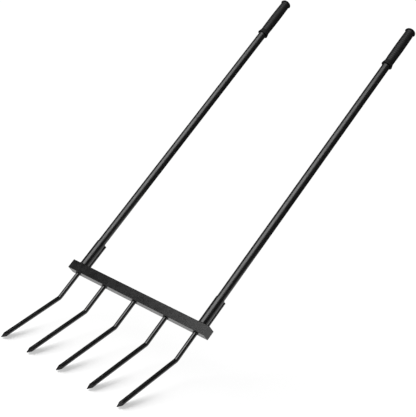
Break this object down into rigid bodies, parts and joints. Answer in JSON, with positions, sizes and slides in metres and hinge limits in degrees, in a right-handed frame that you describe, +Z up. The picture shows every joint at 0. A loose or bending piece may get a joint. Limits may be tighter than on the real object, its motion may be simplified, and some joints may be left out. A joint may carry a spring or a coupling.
{
  "type": "broadfork",
  "caption": "Two-handled garden fork with bent pointed tines under a steel crossbar, leaned back on its tips, for loosening soil.",
  "frame": {"origin": "on the floor, under the middle of the tool's box as it stands leaned back on its tine points", "axes": "+X to the right along the crossbar, +Y backwards, the way the handles lean, +Z up; the handles rise at 33.7 degrees"},
  "size_m": [0.51, 1.154, 0.6779],
  "materials": {
    "frame_coat": "satin black powder coat",
    "handle_coat": "semi-gloss black powder coat",
    "grip_rubber": "matt moulded rubber with rings",
    "bolt_steel": "black oxide",
    "joiner_steel": "black oxide"
  },
  "bodies": {
    "root": {"crossbar": "frame_coat", "crossbar_end_plate_left": "frame_coat", "crossbar_end_plate_right": "frame_coat", "grip_left": "grip_rubber", "grip_right": "grip_rubber", "handle_bolts_left": "bolt_steel", "handle_bolts_right": "bolt_steel", "handle_joiner_left": "joiner_steel", "handle_joiner_right": "joiner_steel", "handle_socket_left": "frame_coat", "handle_socket_right": "frame_coat", "lower_handle_tube_left": "handle_coat", "lower_handle_tube_right": "handle_coat", "socket_strap_left": "frame_coat", "socket_strap_right": "frame_coat", "socket_welds": "frame_coat", "strap_welds": "frame_coat", "tine_1": "frame_coat", "tine_2": "frame_coat", "tine_3": "frame_coat", "tine_4": "frame_coat", "tine_5": "frame_coat", "tine_welds": "frame_coat", "upper_handle_tube_left": "handle_coat", "upper_handle_tube_right": "handle_coat"}
  },
  "joints": []
}
